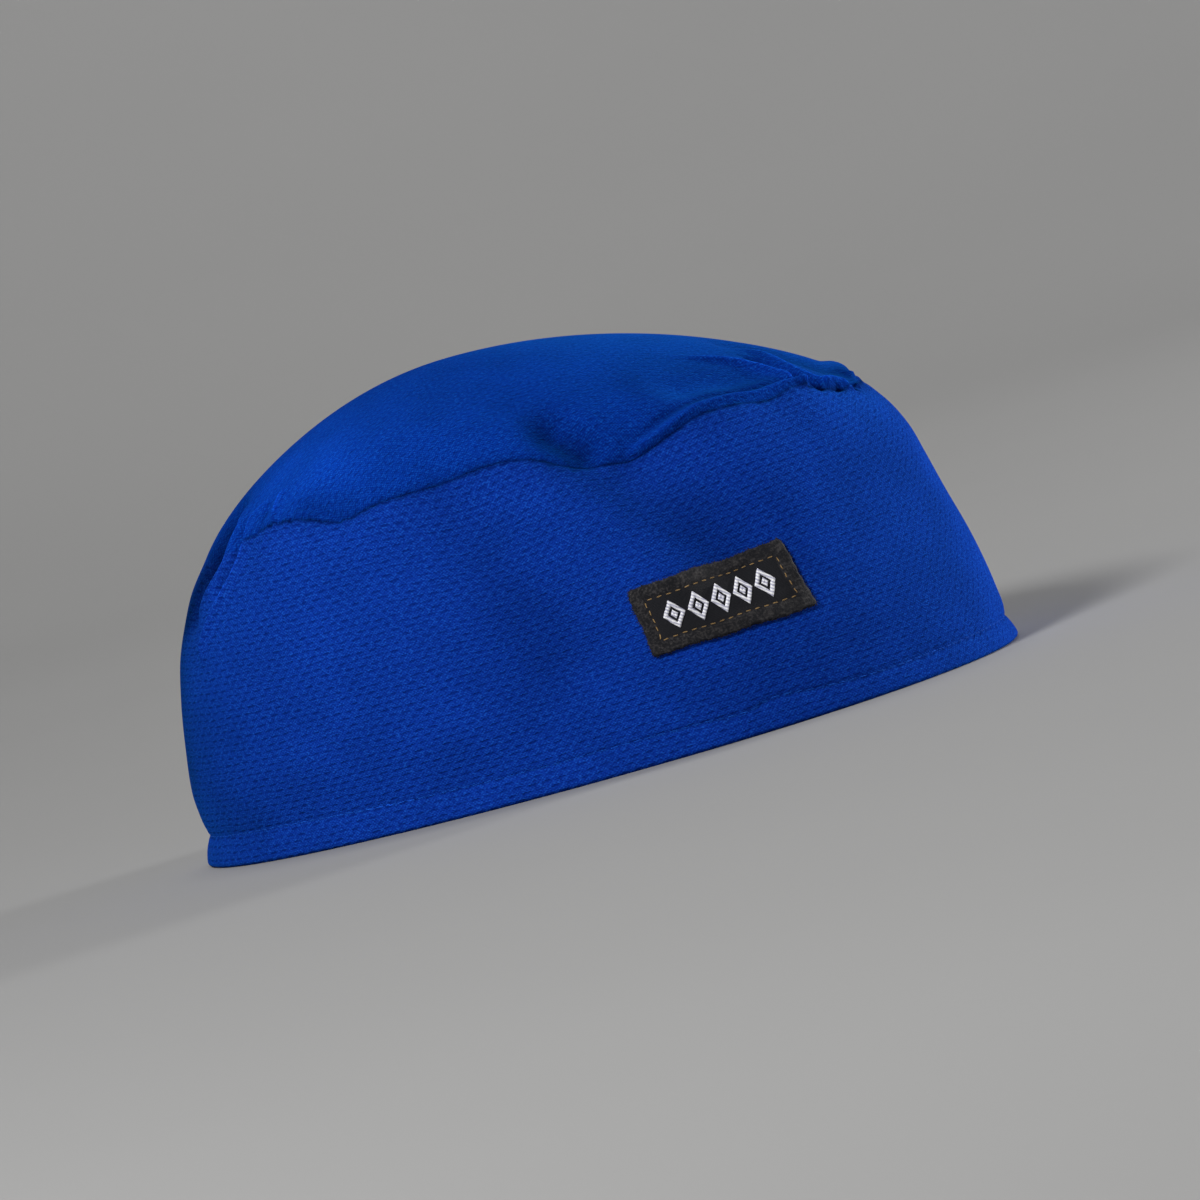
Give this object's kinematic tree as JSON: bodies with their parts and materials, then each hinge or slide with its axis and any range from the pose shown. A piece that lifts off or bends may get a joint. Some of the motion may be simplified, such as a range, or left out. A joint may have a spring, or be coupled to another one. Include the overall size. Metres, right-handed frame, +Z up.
{
  "type": "skull cap",
  "caption": "Close-fitting knit skull cap with a tall side band, a domed oval crown sewn to it, a double hem at the rim and a small sewn-on label.",
  "frame": {"origin": "middle of the rim, on the plane that the cap rests on", "axes": "+X runs along the head towards the end nearer the label, -Y points out of the labelled side, +Z points up through the crown"},
  "size_m": [0.2051, 0.1551, 0.1028],
  "materials": {
    "band_knit": "royal blue mesh knit",
    "crown_knit": "royal blue mesh knit",
    "label_cloth": "black woven cloth"
  },
  "bodies": {
    "root": {"side_band": "band_knit", "crown_panel": "crown_knit", "label": "label_cloth"}
  },
  "joints": []
}
